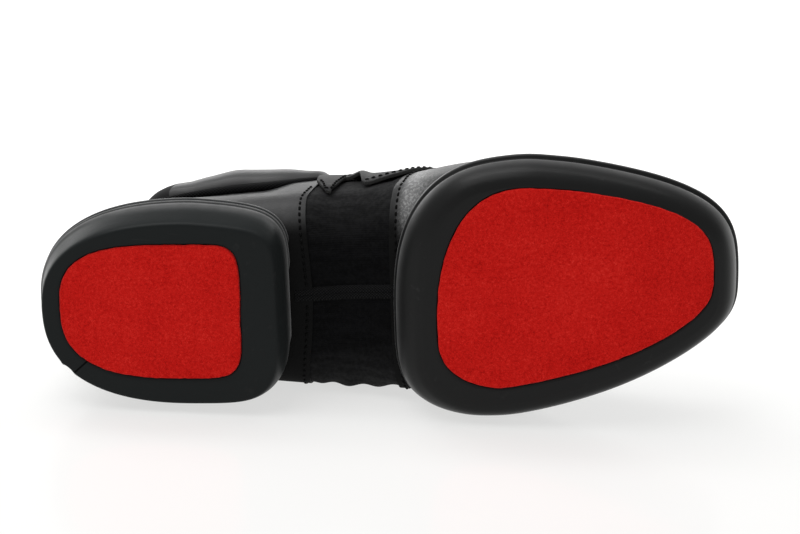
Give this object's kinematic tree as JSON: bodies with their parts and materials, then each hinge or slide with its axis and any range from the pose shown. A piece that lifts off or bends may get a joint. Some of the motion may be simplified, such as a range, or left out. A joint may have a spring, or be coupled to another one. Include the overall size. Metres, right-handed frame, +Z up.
{
  "type": "split-sole dance shoe",
  "caption": "Black leather low-top dance sneaker with a split rubber sole, red suede tread patches, a stretch arch panel and a padded collar, lying on its outer side.",
  "frame": {"origin": "centre of the bounding box, at the floor that the shoe lies on", "axes": "+X from heel to toe, +Y from the tread towards the collar, +Z up, which is the shoe's inner side"},
  "size_m": [0.2718, 0.1194, 0.1063],
  "materials": {
    "leather": "soft satin grain",
    "rubber": "fine matt moulded",
    "red_suede": "napped suede",
    "lining": "woven",
    "lace": "flat woven cord"
  },
  "bodies": {
    "root": {"upper": "leather", "eyestay": "leather", "collar": "leather", "heel_sole": "rubber", "forefoot_sole": "rubber", "heel_suede": "red_suede", "forefoot_suede": "red_suede", "tongue": "lining", "insole": "lining", "lace_bar": "lace", "lace_cross_1": "lace", "lace_cross_2": "lace", "lace_cross_3": "lace"}
  },
  "joints": []
}
